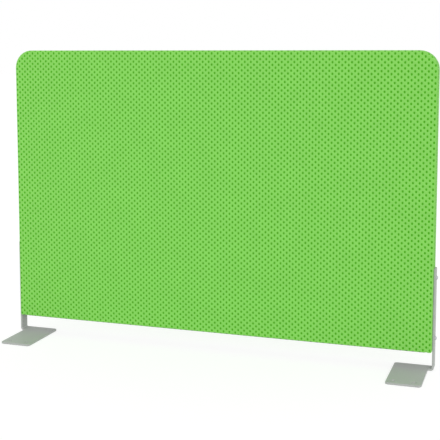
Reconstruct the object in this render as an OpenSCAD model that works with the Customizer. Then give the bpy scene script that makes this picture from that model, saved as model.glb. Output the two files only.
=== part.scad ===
// Acoustic divider screen: an upholstered panel carried by two bent steel feet.
// Millimetres, +Z up, front towards -Y. The origin is on the floor, in the middle of the
// outline seen from above.

/* [Panel] */
// Width of the panel over its sewn cover
panel_w = 1200; // [800:10:1800]
// Height of the panel
panel_h = 780; // [500:10:1200]
// Thickness of the panel over both covers
panel_t = 46; // [42:1:60]
// Height of the open gap between the floor and the panel
floor_gap = 50; // [40:1:90]
// Radius of the two rounded top corners
corner_r = 50; // [30:1:80]
// Radius over which the covers roll round the edges of the panel
roll_r = 5; // [4:0.5:7]

/* [Cover and foam] */
// Thickness of the spacer-mesh fabric
fabric_t = 2.5; // [1.5:0.1:3]
// Thickness of the foam under each cover
foam_t = 6; // [4:0.5:8]
// Clearance between a soft layer and what it lies against
soft_gap = 0.25; // [0.2:0.05:0.4]
// Width of the hem that each cover turns under the panel
hem_w = 12; // [8:0.5:13]

/* [Frame] */
// Width of the rails and the stiles
rail_w = 60; // [50:1:70]
// Width of the post in the middle
post_w = 50; // [40:1:80]
// Side length of the corner blocks
block_w = 90; // [82:1:110]
// Radius of the dowels
dowel_r = 4; // [3:0.5:5]
// Length of the dowels
dowel_l = 40; // [30:1:50]
// Free space round a dowel in its hole
dowel_fit = 0.05; // [0.02:0.01:0.1]
// Free space at each end of a dowel
dowel_end_gap = 1; // [0.5:0.5:2]
// Free space round each acoustic slab
core_gap = 0.5; // [0.2:0.1:0.8]

/* [Closing strip] */
// Width of the strip that clamps the hems
strip_w = 30; // [26:1:34]
// Thickness of the strip
strip_t = 2; // [1.5:0.1:3]
// Distance from each end of the strip to the side of the panel
strip_end = 20; // [10:1:60]
// Number of screws along the strip
strip_screws_n = 6; // [4:1:12]
// Radius of the strip screws
strip_screw_r = 1.75; // [1.5:0.05:2]
// Length of the strip screws
strip_screw_l = 20; // [16:1:30]
// Radius of the strip screws' countersunk heads
strip_head_r = 3.5; // [3.2:0.1:4]
// Length of the strip screws' points
strip_point_l = 3; // [2:0.5:4]

/* [Feet] */
// Thickness of the steel
steel_t = 5; // [4:0.5:6]
// Depth of the upright wing, front to back
wing_d = 30; // [26:1:36]
// Height of the wing's top above the floor
wing_top = 271; // [240:1:340]
// Radius of the wing's top corners
wing_r = 5; // [2:0.5:8]
// Inside radius of the bend at the floor
bend_r = 3; // [2:0.5:4]
// Width of the base plate
plate_w = 90; // [75:1:110]
// Length of the base plate, front to back
plate_l = 170; // [150:1:220]
// Distance from the wing's outside to the base plate's outer edge
plate_inset = 15; // [13:0.5:20]
// Radius of the base plate's corners
plate_r = 8; // [5:0.5:12]
// Radius of the inner corner between neck and plate
neck_r = 4; // [2:0.5:4]

/* [Plate holes] */
// Radius of the two screw holes in each base plate
hole_r = 3.3; // [2.7:0.1:4.3]
// Radius of their countersinks at the top face
sink_r = 6.3; // [5.5:0.1:6.8]
// Distance between the two holes
hole_spacing = 52; // [40:1:60]
// Distance from the holes to the plate's front edge
hole_setback = 20; // [15:1:30]

/* [Pads] */
// Thickness of the anti-slip pads
pad_t = 1; // [0.8:0.1:3]
// Distance from a pad's edge to the plate's edge
pad_margin = 3; // [2:0.5:4]
// Free space round the screw holes in the pads
pad_hole_gap = 1; // [0.5:0.5:2]

/* [Wing screws] */
// Radius of the machine screws
screw_r = 3; // [2.5:0.1:3.2]
// Length of the machine screws under the head
screw_l = 25; // [22:1:32]
// Radius of their button heads
head_r = 5.25; // [5:0.05:5.6]
// Height of their button heads
head_h = 3.3; // [2.6:0.1:3.6]
// Width of the hexagon socket across its flats
socket_w = 4; // [3:0.5:4]
// Depth of the hexagon socket
socket_h = 2; // [1.5:0.1:2.2]
// Height of the lower screw above the bottom of the panel
screw_low = 35; // [25:1:50]
// Distance between the two screws
screw_pitch = 160; // [120:1:170]
// Free space round a screw in the steel and the washer
screw_gap = 0.3; // [0.2:0.05:0.5]
// Free space round a screw in the cover
cover_hole_gap = 1; // [0.5:0.1:2]
// Free space between a screw and its insert, and past its tip
thread_gap = 0.05; // [0.02:0.01:0.1]
// Radius of the washers
washer_r = 6; // [5.8:0.1:7]
// Thickness of the washers
washer_t = 1.6; // [1:0.1:2]
// Radius of the threaded inserts
insert_r = 4.5; // [4:0.1:5]
// Length of the threaded inserts
insert_l = 15; // [12:1:18]
// Radius of the inserts' flanges
insert_flange_r = 5.8; // [5.5:0.1:6.5]
// Thickness of the inserts' flanges
insert_flange_t = 1.2; // [1:0.1:1.6]
// Extra depth of a hole past the tip of its screw
tip_gap = 2; // [1:0.5:4]

/* [Hidden] */
$fn = 64;

// How far a cutting shape runs past the face that it cuts
overrun = 1;
// Places of two dowels, as a share of the width of the piece that they join
dowel_share = 0.25;
// Chamfer on the strip's lower edges, as a share of its thickness
strip_chamfer_share = 0.5;
// Width and depth of the cross recess in a strip screw, as shares of its head
recess_length_share = 1.2;
recess_width_share = 0.28;
recess_depth_share = 0.4;

// Inside of the sewn cover, which the frame fills
skin = fabric_t + soft_gap;
frame_t = panel_t - 2 * (skin + foam_t + soft_gap);
half_w = panel_w / 2;
panel_bottom = floor_gap;
panel_top = floor_gap + panel_h;
in_half = half_w - skin;
in_bottom = panel_bottom + skin;
in_top = panel_top - skin;
bay_bottom = in_bottom + rail_w;
bay_top = in_top - rail_w;
bay_r = block_w - rail_w;
block_low = in_top - block_w;

// Rolled edge of a cover, and the band between the two rolls
roll_in = roll_r - fabric_t;
band_half = panel_t / 2 - roll_r;
corner_x = half_w - corner_r;
corner_z = panel_top - corner_r;
side_h = corner_z - panel_bottom - roll_r;
hem_half_w = half_w - roll_r;

// Feet. The back of the wing and of the plate line up
panel_y = (plate_l - wing_d / 2 - panel_t / 2) / 2;
foot_back = panel_y + wing_d / 2;
foot_front = foot_back - plate_l;
wing_front = foot_back - wing_d;
steel_top = pad_t + steel_t;
wing_in = half_w + soft_gap;
wing_out = wing_in + steel_t;
bend_x = wing_in - bend_r;
bend_z = steel_top + bend_r;
plate_out = wing_out - plate_inset;
plate_x = plate_out - plate_w / 2;
neck_fillet = min(neck_r, bend_x - plate_out);
hole_y = foot_front + hole_setback;
sink_h = sink_r - hole_r;

// Wing screws, from the tip inside the stile to the head outside the wing
head_x = wing_out + washer_t;
tip_x = head_x - screw_l;

// Closing strip
strip_top = panel_bottom - soft_gap;
strip_low = strip_top - strip_t;
strip_l = 2 * (half_w - strip_end);
rib_half = band_half - hem_w - soft_gap;
strip_head_h = strip_head_r - strip_screw_r;

// Outline of the panel seen from the front, drawn in all round by inset
module face_outline(inset) {
    translate([-half_w + inset, panel_bottom + inset])
        square([2 * (half_w - inset), corner_z - panel_bottom - inset]);
    translate([-corner_x, panel_bottom + inset])
        square([2 * corner_x, panel_h - 2 * inset]);
    for (side = [-1, 1])
        translate([side * corner_x, corner_z]) circle(corner_r - inset);
}

// A flat shape drawn as seen from the front, given its depth from y_low backwards
module upright(y_low, depth) {
    translate([0, y_low + depth, 0]) rotate([90, 0, 0]) linear_extrude(depth) children();
}

// A quarter of a disc, in the corner where both coordinates are positive
module quarter_disc(radius) {
    intersection() {
        circle(radius);
        square(radius);
    }
}

// A quarter of a ring in the same corner
module quarter_ring(outer, inner) {
    difference() {
        quarter_disc(outer);
        circle(inner);
    }
}

// A bar of timber in the thickness of the frame, from its lower left corner
module bar(x_low, z_low, width, height) {
    translate([x_low, -frame_t / 2, z_low]) cube([width, frame_t, height]);
}

// Puts its child at every dowel, the child's length along Z and centred on the joint
module at_dowels() {
    for (side = [-1, 1]) {
        for (step = [-1, 1] * rail_w * dowel_share) {
            translate([side * (in_half - rail_w / 2) + step, 0, block_low]) children();
            translate([side * (in_half - rail_w), 0, in_bottom + rail_w / 2 + step])
                rotate([0, 90, 0]) children();
            translate([side * (in_half - block_w), 0, in_top - rail_w / 2 + step])
                rotate([0, 90, 0]) children();
        }
        for (joint_z = [bay_bottom, bay_top])
            translate([side * post_w * dowel_share, 0, joint_z]) children();
    }
}

module dowel_holes() {
    at_dowels()
        cylinder(h = dowel_l + 2 * dowel_end_gap, r = dowel_r + dowel_fit, center = true);
}

// Puts its child at both right-hand screws, the child's +Z turned to +X, in panel places
module at_wing_screws() {
    for (screw_z = [screw_low, screw_low + screw_pitch])
        translate([0, 0, panel_bottom + screw_z]) rotate([0, 90, 0]) children();
}

// Puts its child at every strip screw, on the strip's lower face
module at_strip_screws() {
    for (k = [0 : strip_screws_n - 1])
        translate([(k + 0.5) * strip_l / strip_screws_n - strip_l / 2, 0, strip_low])
            children();
}

// Everything drawn round the panel's middle plane is moved back to its place here
module on_panel() {
    translate([0, panel_y, 0]) children();
}

module left_hand() {
    mirror([1, 0, 0]) children();
}

// Cover: a flat face, edges rolled round the frame and a hem under the panel
module cover() {
    color("yellowgreen") {
        upright(-panel_t / 2, fabric_t) face_outline(roll_r);
        for (side = [0, 1]) mirror([side, 0, 0]) {
            translate([half_w - roll_r, -band_half, panel_bottom + roll_r])
                linear_extrude(side_h) mirror([0, 1]) quarter_ring(roll_r, roll_in);
            translate([corner_x, 0, corner_z]) rotate([90, 0, 0])
                rotate_extrude(angle = 90)
                    translate([corner_r - roll_r, band_half]) quarter_ring(roll_r, roll_in);
            translate([half_w - roll_r, 0, panel_bottom + roll_r]) rotate([90, -90, 0])
                rotate_extrude(angle = 90)
                    translate([0, band_half]) quarter_ring(roll_r, roll_in);
        }
        translate([-corner_x, -band_half, panel_top - roll_r]) rotate([90, 0, 90])
            linear_extrude(2 * corner_x) mirror([1, 0]) quarter_ring(roll_r, roll_in);
        translate([-hem_half_w, -band_half, panel_bottom + roll_r]) rotate([90, 0, 90])
            linear_extrude(2 * hem_half_w) rotate(180) quarter_ring(roll_r, roll_in);
        translate([-hem_half_w, -band_half, panel_bottom])
            cube([2 * hem_half_w, hem_w, fabric_t]);
    }
}

module front_cover() {
    on_panel() cover();
}

module back_cover() {
    on_panel() mirror([0, 1, 0]) cover();
}

// Band of the same fabric up one side, over the top and down the other side
module edge_band() {
    color("olivedrab") on_panel() {
        translate([-corner_x, -band_half, panel_top - fabric_t])
            cube([2 * corner_x, 2 * band_half, fabric_t]);
        for (side = [0, 1]) mirror([side, 0, 0]) {
            difference() {
                translate([half_w - fabric_t, -band_half, panel_bottom + roll_r])
                    cube([fabric_t, 2 * band_half, side_h]);
                at_wing_screws() cylinder(h = panel_w, r = screw_r + cover_hole_gap);
            }
            translate([corner_x, 0, corner_z]) rotate([90, 0, 0])
                rotate_extrude(angle = 90) translate([corner_r - fabric_t, -band_half])
                    square([fabric_t, 2 * band_half]);
            upright(-band_half, 2 * band_half)
                translate([half_w - roll_r, panel_bottom + roll_r])
                    mirror([0, 1]) quarter_ring(roll_r, roll_in);
        }
    }
}

// Foam: a flat layer that stops where the cover starts to roll
module foam() {
    color("gainsboro") upright(-panel_t / 2 + skin, foam_t) face_outline(roll_r);
}

module front_foam() {
    on_panel() foam();
}

module back_foam() {
    on_panel() mirror([0, 1, 0]) foam();
}

// Acoustic slab of the right-hand bay, rounded to suit the corner block
module core() {
    slab_x = post_w / 2 + core_gap;
    slab_z = bay_bottom + core_gap;
    slab_w = in_half - rail_w - core_gap - slab_x;
    slab_h = bay_top - core_gap - slab_z;
    slab_r = bay_r - core_gap;
    color("lightslategray") on_panel() upright(-frame_t / 2, frame_t)
        translate([slab_x, slab_z]) {
            square([slab_w - slab_r, slab_h]);
            square([slab_w, slab_h - slab_r]);
            translate([slab_w - slab_r, slab_h - slab_r]) circle(slab_r);
        }
}

module right_core() {
    core();
}

module left_core() {
    left_hand() core();
}

module bottom_rail() {
    color("burlywood") on_panel() difference() {
        bar(-in_half + rail_w, in_bottom, 2 * (in_half - rail_w), rail_w);
        dowel_holes();
        at_strip_screws() cylinder(h = strip_screw_l + tip_gap, r = strip_screw_r + thread_gap);
    }
}

module top_rail() {
    color("burlywood") on_panel() difference() {
        bar(-in_half + block_w, bay_top, 2 * (in_half - block_w), rail_w);
        dowel_holes();
    }
}

// Right-hand stile, bored from its outer edge for the threaded inserts
module stile() {
    color("burlywood") on_panel() difference() {
        bar(in_half - rail_w, in_bottom, rail_w, block_low - in_bottom);
        dowel_holes();
        at_wing_screws() {
            translate([0, 0, in_half - insert_l])
                cylinder(h = insert_l + overrun, r = insert_r + thread_gap);
            translate([0, 0, in_half - insert_flange_t])
                cylinder(h = insert_flange_t + overrun, r = insert_flange_r + thread_gap);
            translate([0, 0, tip_x - tip_gap])
                cylinder(h = screw_l, r = screw_r + thread_gap);
        }
    }
}

module right_stile() {
    stile();
}

module left_stile() {
    left_hand() stile();
}

// Right-hand corner block: rounded outside like the panel, hollowed where the bay ends
module corner_block() {
    color("tan") on_panel() difference() {
        upright(-frame_t / 2, frame_t) difference() {
            union() {
                translate([in_half - block_w, block_low])
                    square([block_w, corner_z - block_low]);
                translate([in_half - block_w, block_low])
                    square([corner_x - in_half + block_w, block_w]);
                translate([corner_x, corner_z]) quarter_disc(corner_r - skin);
            }
            translate([in_half - block_w, block_low]) circle(bay_r);
        }
        dowel_holes();
    }
}

module right_corner_block() {
    corner_block();
}

module left_corner_block() {
    left_hand() corner_block();
}

module centre_post() {
    color("burlywood") on_panel() difference() {
        bar(-post_w / 2, bay_bottom, post_w, bay_top - bay_bottom);
        dowel_holes();
    }
}

module frame_dowels() {
    color("peru") on_panel() at_dowels()
        cylinder(h = dowel_l, r = dowel_r, center = true);
}

// Strip with a rib between the two hems; the rib bears on the bottom rail
module closing_strip() {
    chamfer = strip_t * strip_chamfer_share;
    color("dimgray") on_panel() difference() {
        translate([-strip_l / 2, 0, 0]) rotate([90, 0, 90]) linear_extrude(strip_l)
            polygon([
                [-strip_w / 2, strip_top],
                [-strip_w / 2, strip_low + chamfer],
                [-strip_w / 2 + chamfer, strip_low],
                [strip_w / 2 - chamfer, strip_low],
                [strip_w / 2, strip_low + chamfer],
                [strip_w / 2, strip_top],
                [rib_half, strip_top],
                [rib_half, in_bottom],
                [-rib_half, in_bottom],
                [-rib_half, strip_top]
            ]);
        at_strip_screws() {
            translate([0, 0, -overrun])
                cylinder(h = in_bottom - strip_low + 2 * overrun, r = strip_screw_r + thread_gap);
            cylinder(h = strip_head_h, r1 = strip_head_r + thread_gap,
                r2 = strip_screw_r + thread_gap);
        }
    }
}

module strip_screws() {
    recess = strip_head_r * recess_length_share;
    slot = strip_head_r * recess_width_share;
    recess_h = strip_head_h * recess_depth_share;
    color("silver") on_panel() at_strip_screws() difference() {
        union() {
            cylinder(h = strip_head_h, r1 = strip_head_r, r2 = strip_screw_r);
            cylinder(h = strip_screw_l - strip_point_l, r = strip_screw_r);
            translate([0, 0, strip_screw_l - strip_point_l])
                cylinder(h = strip_point_l, r1 = strip_screw_r, r2 = 0);
        }
        for (turn = [0, 90]) rotate(turn)
            translate([-recess / 2, -slot / 2, -overrun])
                cube([recess, slot, recess_h + overrun]);
    }
}

// Base plate and neck seen from above
module plate_outline() {
    difference() {
        union() {
            base_plate_outline();
            translate([plate_out - plate_r, wing_front])
                square([bend_x - plate_out + plate_r, wing_d]);
            translate([plate_out - neck_fillet, wing_front - neck_fillet])
                square([2 * neck_fillet, neck_fillet]);
        }
        translate([plate_out + neck_fillet, wing_front - neck_fillet]) circle(neck_fillet);
    }
}

// Rounded rectangle of the base plate, built from squares and circles
module base_plate_outline() {
    plate_in = plate_out - plate_w;
    translate([plate_in, foot_front + plate_r]) square([plate_w, plate_l - 2 * plate_r]);
    translate([plate_in + plate_r, foot_front]) square([plate_w - 2 * plate_r, plate_l]);
    for (corner_at = [plate_in + plate_r, plate_out - plate_r],
        along = [foot_front + plate_r, foot_back - plate_r])
        translate([corner_at, along]) circle(plate_r);
}

// Right-hand foot: wing, bend, neck and base plate are one piece of steel
module foot() {
    color("darkgray") difference() {
        union() {
            translate([0, 0, pad_t]) linear_extrude(steel_t) plate_outline();
            translate([0, foot_back, 0]) rotate([90, 0, 0]) linear_extrude(wing_d)
                translate([bend_x, bend_z]) mirror([0, 1])
                    quarter_ring(bend_r + steel_t, bend_r);
            translate([wing_in, wing_front, bend_z])
                cube([steel_t, wing_d, wing_top - wing_r - bend_z]);
            translate([wing_in, wing_front + wing_r, wing_top - 2 * wing_r])
                cube([steel_t, wing_d - 2 * wing_r, 2 * wing_r]);
            for (along = [wing_front + wing_r, foot_back - wing_r])
                translate([wing_in, along, wing_top - wing_r]) rotate([0, 90, 0])
                    cylinder(h = steel_t, r = wing_r);
        }
        for (side = [-1, 1])
            translate([plate_x + side * hole_spacing / 2, hole_y, 0]) {
                cylinder(h = steel_top + overrun, r = hole_r);
                translate([0, 0, steel_top - sink_h])
                    cylinder(h = sink_h, r1 = hole_r, r2 = sink_r);
            }
        on_panel() at_wing_screws() translate([0, 0, wing_in - overrun])
            cylinder(h = steel_t + 2 * overrun, r = screw_r + screw_gap);
    }
}

module right_foot() {
    foot();
}

module left_foot() {
    left_hand() foot();
}

// Anti-slip pad under the base plate, open round the screw holes
module pad() {
    pad_in = plate_out - plate_w + pad_margin;
    pad_front = foot_front + pad_margin;
    pad_w = plate_w - 2 * pad_margin;
    pad_l = plate_l - 2 * pad_margin;
    pad_r = plate_r - pad_margin;
    color("black") difference() {
        linear_extrude(pad_t) translate([pad_in, pad_front]) {
            translate([0, pad_r]) square([pad_w, pad_l - 2 * pad_r]);
            translate([pad_r, 0]) square([pad_w - 2 * pad_r, pad_l]);
            for (across = [pad_r, pad_w - pad_r], along = [pad_r, pad_l - pad_r])
                translate([across, along]) circle(pad_r);
        }
        for (side = [-1, 1])
            translate([plate_x + side * hole_spacing / 2, hole_y, -overrun])
                cylinder(h = pad_t + 2 * overrun, r = hole_r + pad_hole_gap);
    }
}

module right_pad() {
    pad();
}

module left_pad() {
    left_hand() pad();
}

// Threaded inserts, flush with the outer edge of the right-hand stile
module inserts() {
    color("goldenrod") on_panel() at_wing_screws() difference() {
        union() {
            translate([0, 0, in_half - insert_l]) cylinder(h = insert_l, r = insert_r);
            translate([0, 0, in_half - insert_flange_t])
                cylinder(h = insert_flange_t, r = insert_flange_r);
        }
        translate([0, 0, in_half - insert_l - overrun])
            cylinder(h = insert_l + 2 * overrun, r = screw_r + thread_gap);
    }
}

module right_inserts() {
    inserts();
}

module left_inserts() {
    left_hand() inserts();
}

// Button-head screws: the head is a slice of a ball with a hexagon socket
module screws() {
    ball_r = (head_r * head_r + head_h * head_h) / (2 * head_h);
    point = screw_r - thread_gap;
    color("silver") on_panel() at_wing_screws() translate([0, 0, head_x]) difference() {
        union() {
            intersection() {
                cylinder(h = head_h, r = head_r);
                translate([0, 0, head_h - ball_r]) sphere(ball_r);
            }
            translate([0, 0, screw_r / 2 - screw_l])
                cylinder(h = screw_l - screw_r / 2, r = screw_r);
            translate([0, 0, -screw_l])
                cylinder(h = screw_r / 2, r1 = point / 2, r2 = screw_r);
        }
        translate([0, 0, head_h - socket_h])
            cylinder(h = socket_h + overrun, r = socket_w / 2 / cos(30), $fn = 6);
    }
}

module right_screws() {
    screws();
}

module left_screws() {
    left_hand() screws();
}

module washers() {
    color("lightgray") on_panel() at_wing_screws() translate([0, 0, wing_out])
        difference() {
            cylinder(h = washer_t, r = washer_r);
            translate([0, 0, -overrun])
                cylinder(h = washer_t + 2 * overrun, r = screw_r + screw_gap);
        }
}

module right_washers() {
    washers();
}

module left_washers() {
    left_hand() washers();
}

front_cover();
back_cover();
edge_band();
front_foam();
back_foam();
left_core();
right_core();
bottom_rail();
top_rail();
left_stile();
right_stile();
left_corner_block();
right_corner_block();
centre_post();
frame_dowels();
closing_strip();
strip_screws();
left_foot();
right_foot();
left_pad();
right_pad();
left_inserts();
right_inserts();
left_screws();
right_screws();
left_washers();
right_washers();
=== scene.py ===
# %% [markdown]
# An acoustic divider screen, dressed in Blender.
# The real screen is one upright panel, 1.2 m wide and 0.78 m high, covered in bright green spacer mesh and
# held 50 mm above the desk or floor by two bent steel feet. Its frame, its holes and its sizes come from the
# CAD model, which this file loads first and never moves. Everything below is about what a person sees and
# touches: the cloth, its seams and stitches, the painted steel, the screws, and the hidden layers inside.

# %% Load the frame and measure it
import math
from functools import partial

import bpy
import numpy as np
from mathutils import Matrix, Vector
from mathutils.geometry import tessellate_polygon


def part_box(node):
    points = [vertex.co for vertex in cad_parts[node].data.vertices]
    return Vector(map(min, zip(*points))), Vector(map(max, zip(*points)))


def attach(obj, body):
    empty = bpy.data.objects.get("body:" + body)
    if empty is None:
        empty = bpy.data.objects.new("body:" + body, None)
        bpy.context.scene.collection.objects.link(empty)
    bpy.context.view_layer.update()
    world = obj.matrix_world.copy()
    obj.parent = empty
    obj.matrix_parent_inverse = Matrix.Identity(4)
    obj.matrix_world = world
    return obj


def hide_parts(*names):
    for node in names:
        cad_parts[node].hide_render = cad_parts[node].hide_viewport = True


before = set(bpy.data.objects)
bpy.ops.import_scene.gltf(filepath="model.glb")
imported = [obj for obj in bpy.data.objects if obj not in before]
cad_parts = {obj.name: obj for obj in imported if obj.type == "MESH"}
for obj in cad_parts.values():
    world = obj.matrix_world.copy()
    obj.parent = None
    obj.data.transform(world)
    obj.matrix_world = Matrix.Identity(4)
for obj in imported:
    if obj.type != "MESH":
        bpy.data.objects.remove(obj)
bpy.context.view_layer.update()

print("nodes to dress:", len(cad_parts))

# %% [markdown]
# A workshop drawing is in millimetres, and so are the numbers in this file. Blender and the frame are in
# metres. Two small helpers keep the two apart: one reads a CAD node's box in millimetres, and one makes a
# mesh from millimetre points, turns it into metres once, and lets it ride on the CAD body. A third puts any
# new camera, lamp or mesh into the scene.
# The mesh is filled straight from arrays, because the knitted cloth has far too many loops to build one by
# one. Faces come in groups, and every face of a group has the same number of corners. Points that no face
# uses are left out.

# %% Helpers for boxes and pieces
MM = 0.001


def box_mm(node):
    """The lowest and highest corner of a CAD node, in millimetres."""
    low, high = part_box(node)
    return np.array(low) / MM, np.array(high) / MM


def in_scene(name, data):
    """A new object with that camera, lamp or mesh, in the scene."""
    made = bpy.data.objects.new(name, data)
    bpy.context.scene.collection.objects.link(made)
    return made


def piece(name, points, groups, finishes, stands_for=(), finish_of=None, cloth=None):
    """A new piece of the screen: points in mm, faces in groups, and its place on the frame."""
    counts = np.concatenate([np.full(len(group), group.shape[1]) for group in groups])
    used, corners = np.unique(np.concatenate([group.ravel() for group in groups]), return_inverse=True)
    points = points[used] * MM
    mesh = bpy.data.meshes.new(name)
    mesh.vertices.add(len(points))
    mesh.vertices.foreach_set("co", points.astype(np.float32).ravel())
    mesh.loops.add(len(corners))
    mesh.loops.foreach_set("vertex_index", corners.astype(np.int32))
    mesh.polygons.add(len(counts))
    mesh.polygons.foreach_set("loop_start", (np.cumsum(counts) - counts).astype(np.int32))
    mesh.polygons.foreach_set("use_smooth", np.ones(len(counts), bool))
    for finish in finishes:
        mesh.materials.append(finish.material)
    if finish_of is not None:
        mesh.polygons.foreach_set("material_index", finish_of.astype(np.int32))
    if cloth is not None:
        flat = mesh.uv_layers.new(name="OFBake")
        flat.data.foreach_set("uv", cloth[used][corners].astype(np.float32).ravel())
    mesh.update(calc_edges=True)
    made = in_scene(name, mesh)
    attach(made, "root")
    if stands_for:
        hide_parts(*stands_for)
    reach = np.ptp(points, axis=0) / MM
    print(f"{name}: {len(counts)} faces, {reach[0]:.1f} x {reach[1]:.1f} x {reach[2]:.1f} mm")
    return made


# %% [markdown]
# Most pieces of this screen are rings or grids of points: a window's rim, a hole, a screw, the back of the
# cloth. Blender has tools that add circles and grids, but here the points are placed by formulas, so a few
# lines that only number the faces between them are quicker, and they serve every piece.

# %% Rings and grids of faces


def circle(centre, radius, count=32):
    """A ring of points on a circle, anticlockwise."""
    turn = np.arange(count) * 2 * math.pi / count
    return np.array(centre) + radius * np.stack([np.cos(turn), np.sin(turn)], axis=1)


def belt(lower, upper):
    """Faces between rings of point numbers, facing out when the rings run anticlockwise."""
    return np.stack([lower, np.roll(lower, -1, -1), np.roll(upper, -1, -1), upper], axis=-1).reshape(-1, 4)


def grid_faces(rows, columns):
    """Faces between the points of a grid, which are numbered row by row."""
    number = np.arange(rows * columns).reshape(rows, columns)
    corners = [number[:-1, :-1], number[:-1, 1:], number[1:, 1:], number[1:, :-1]]
    return np.stack(corners, axis=-1).reshape(-1, 4)


def areas(points, faces):
    """The area of each face."""
    places = points[faces]
    total = np.cross(places, np.roll(places, -1, axis=1)).sum(axis=1)
    return np.linalg.norm(total, axis=1) / 2


print("a grid of 3 by 4 points has", len(grid_faces(3, 4)), "faces")

# %% [markdown]
# The photograph was taken from the right of the middle, a little above the panel, with a long lens. The
# camera below was fitted to the edges of the panel and the plates. A product photographer keeps the uprights
# upright with a shifted lens, and a small shift does that here, with the rest of the fit in the tilt.

# %% The camera
LENS_MM = 80.41
SENSOR_MM = 36.0
LENS_SHIFT = -0.15
TURN_LEFT = math.radians(18.433)
TILT_DOWN = math.radians(5.875)
EYE = Vector((0.8635, -2.4780, 0.8233))
SEES_UP_TO = 60.0

camera_data = bpy.data.cameras.new("photograph_camera")
camera_data.lens = LENS_MM
camera_data.sensor_width = SENSOR_MM
camera_data.shift_y = LENS_SHIFT
camera_data.clip_end = SEES_UP_TO
camera = in_scene("photograph_camera", camera_data)
camera.location = EYE
camera.rotation_euler = (math.pi / 2 - TILT_DOWN, 0.0, TURN_LEFT)
bpy.context.scene.camera = camera
print("camera", round(EYE.length, 2), "m from the middle of the screen's foot line")

# %% [markdown]
# Blender keeps the world, the floor and every finish as a small network of shader nodes. Nodes could be
# placed and wired by hand in the shader editor. In a script, one helper that makes a node and fills its
# inputs does the same, and leaves each network as short to read as a recipe. An input takes a plain value, or
# what another node puts out.

# %% Making and wiring shader nodes


def feed(tree, node, inputs):
    """Fill a node's inputs, each with a value or from another node."""
    for socket, value in inputs.items():
        if isinstance(value, bpy.types.Node):
            value = value.outputs[0]
        if isinstance(value, bpy.types.NodeSocket):
            tree.links.new(value, node.inputs[socket])
        else:
            node.inputs[socket].default_value = value
    return node


def add_node(tree, kind, inputs, **settings):
    """A new shader node with its settings and its inputs."""
    made = tree.nodes.new("ShaderNode" + kind)
    for name, value in settings.items():
        setattr(made, name, value)
    return feed(tree, made, inputs)


def empty_tree(owner):
    """The node tree of a world or a material, without the nodes that Blender starts it with."""
    owner.use_nodes = True
    owner.node_tree.nodes.clear()
    return owner.node_tree


def seen_ray(tree):
    """One for a ray from the camera or off a shiny or clear surface, nought for all other light."""
    path = add_node(tree, "LightPath", {})
    total = path.outputs["Is Camera Ray"]
    for kind in ("Is Glossy Ray", "Is Transmission Ray"):
        total = add_node(tree, "Math", {0: total, 1: path.outputs[kind]}, operation="MAXIMUM")
    return total


def grey(level):
    """A plain grey of that brightness, from 0 to 1."""
    return (level, level, level, 1.0)


print("half grey as a node takes it:", grey(0.5))

# %% [markdown]
# The light is that of a white studio: an even dome, and one broad lamp beside the camera, on its right. The
# dome lights the screen at a plain level, so a colour shows about as it is written. What the camera sees
# behind the screen is white, and shiny metal mirrors the same white, which Light Path's ray kinds give
# without putting more light on the cloth.

# %% Dome and lamp
DOME_LEVEL = 0.79
LAMP_STRENGTH = 0.92
LAMP_BREADTH = math.radians(40)
TOWARDS_LAMP = Vector((0.45, -0.86, 0.30))

world = bpy.data.worlds.new("studio")
bpy.context.scene.world = world
sky = empty_tree(world)
dome = add_node(sky, "Background", {"Color": grey(1.0), "Strength": DOME_LEVEL})
backdrop = add_node(sky, "Background", {"Color": grey(1.0), "Strength": 1.0})
either = add_node(sky, "MixShader", {0: seen_ray(sky), 1: dome, 2: backdrop})
add_node(sky, "OutputWorld", {0: either})

lamp_data = bpy.data.lights.new("broad_lamp", "SUN")
lamp_data.energy = LAMP_STRENGTH
lamp_data.angle = LAMP_BREADTH
lamp = in_scene("broad_lamp", lamp_data)
lamp.rotation_euler = TOWARDS_LAMP.to_track_quat("Z", "Y").to_euler()
bpy.context.scene.view_settings.view_transform = "Standard"
print("dome", DOME_LEVEL, "lamp", LAMP_STRENGTH, "towards", [round(v, 2) for v in TOWARDS_LAMP])

# %% [markdown]
# The screen stands on a seamless white studio floor. A plain pale floor would look grey to the camera, since
# it passes on only a part of the light. So seen rays meet a floor that glows and still keeps a soft part of
# the screen's shadow, and all other light meets a plain pale floor.

# %% The floor
FLOOR_GLOW = 0.775
FLOOR_WHITE = 0.30
FLOOR_PLAIN = 0.8
FLOOR_HALF = 30.0

floor_finish = bpy.data.materials.new("studio_floor")
floor_tree = empty_tree(floor_finish)
glow = add_node(floor_tree, "Emission", {"Strength": FLOOR_GLOW})
white = add_node(floor_tree, "BsdfDiffuse", {"Color": grey(FLOOR_WHITE)})
seen = add_node(floor_tree, "AddShader", {0: glow, 1: white})
plain = add_node(floor_tree, "BsdfDiffuse", {"Color": grey(FLOOR_PLAIN)})
either = add_node(floor_tree, "MixShader", {0: seen_ray(floor_tree), 1: plain, 2: seen})
add_node(floor_tree, "OutputMaterial", {0: either})

floor_mesh = bpy.data.meshes.new("studio_floor")
floor_corners = [(x * FLOOR_HALF, y * FLOOR_HALF, 0.0) for x, y in ((-1, -1), (1, -1), (1, 1), (-1, 1))]
floor_mesh.from_pydata(floor_corners, [], [(0, 1, 2, 3)])
floor_mesh.materials.append(floor_finish)
floor = in_scene("studio_floor", floor_mesh)
print("floor", 2 * FLOOR_HALF, "m wide")

# %% [markdown]
# Colours are written as a screen shows them, in three parts from 0 to 255. Shaders reckon in linear light,
# where half the light is half the number. Blender's colour picker makes that change by itself, and in a
# script one small function does.

# %% Colours in linear light


def linear(red, green, blue):
    """A display colour with parts from 0 to 255, as the linear colour that shaders take."""
    parts = np.array([red, green, blue]) / 255
    low = parts / 12.92
    high = ((parts + 0.055) / 1.055) ** 2.4
    return (*np.where(parts <= 0.04045, low, high), 1.0)


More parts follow.
